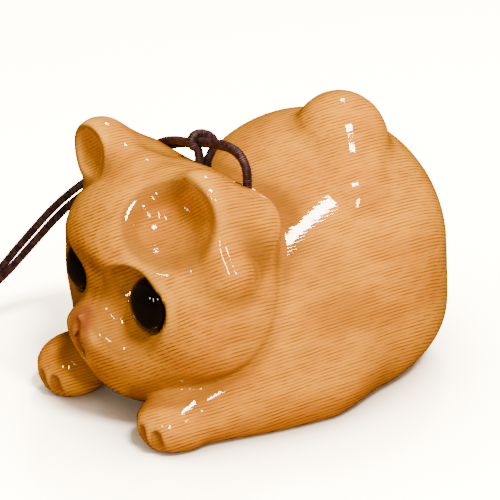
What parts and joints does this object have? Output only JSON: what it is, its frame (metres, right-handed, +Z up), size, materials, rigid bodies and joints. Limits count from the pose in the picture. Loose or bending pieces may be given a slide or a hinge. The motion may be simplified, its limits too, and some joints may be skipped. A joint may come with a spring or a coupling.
{
  "type": "netsuke",
  "caption": "Netsuke carved in lacquered wood as a crouching bob-tailed kitten with inlaid dark eyes, and a doubled braided cord through its cord hole",
  "frame": {"origin": "centre of the bounding box's base, on the flat underside", "axes": "+Z up, the cat faces -Y, its left side is +X"},
  "size_m": [0.0523, 0.0601, 0.0341],
  "materials": {
    "lacquered_wood": "honey-coloured close-grained wood under clear gloss lacquer",
    "dark_inlay": "opaque black polished cabochon",
    "braided_cord": "dark maroon round braid"
  },
  "bodies": {
    "root": {"carved_cat": "lacquered_wood", "left_eye": "dark_inlay", "right_eye": "dark_inlay", "cord_strand_1": "braided_cord", "cord_strand_2": "braided_cord", "cord_loop": "braided_cord", "cord_coil": "braided_cord", "cord_end_knot": "braided_cord"}
  },
  "joints": []
}
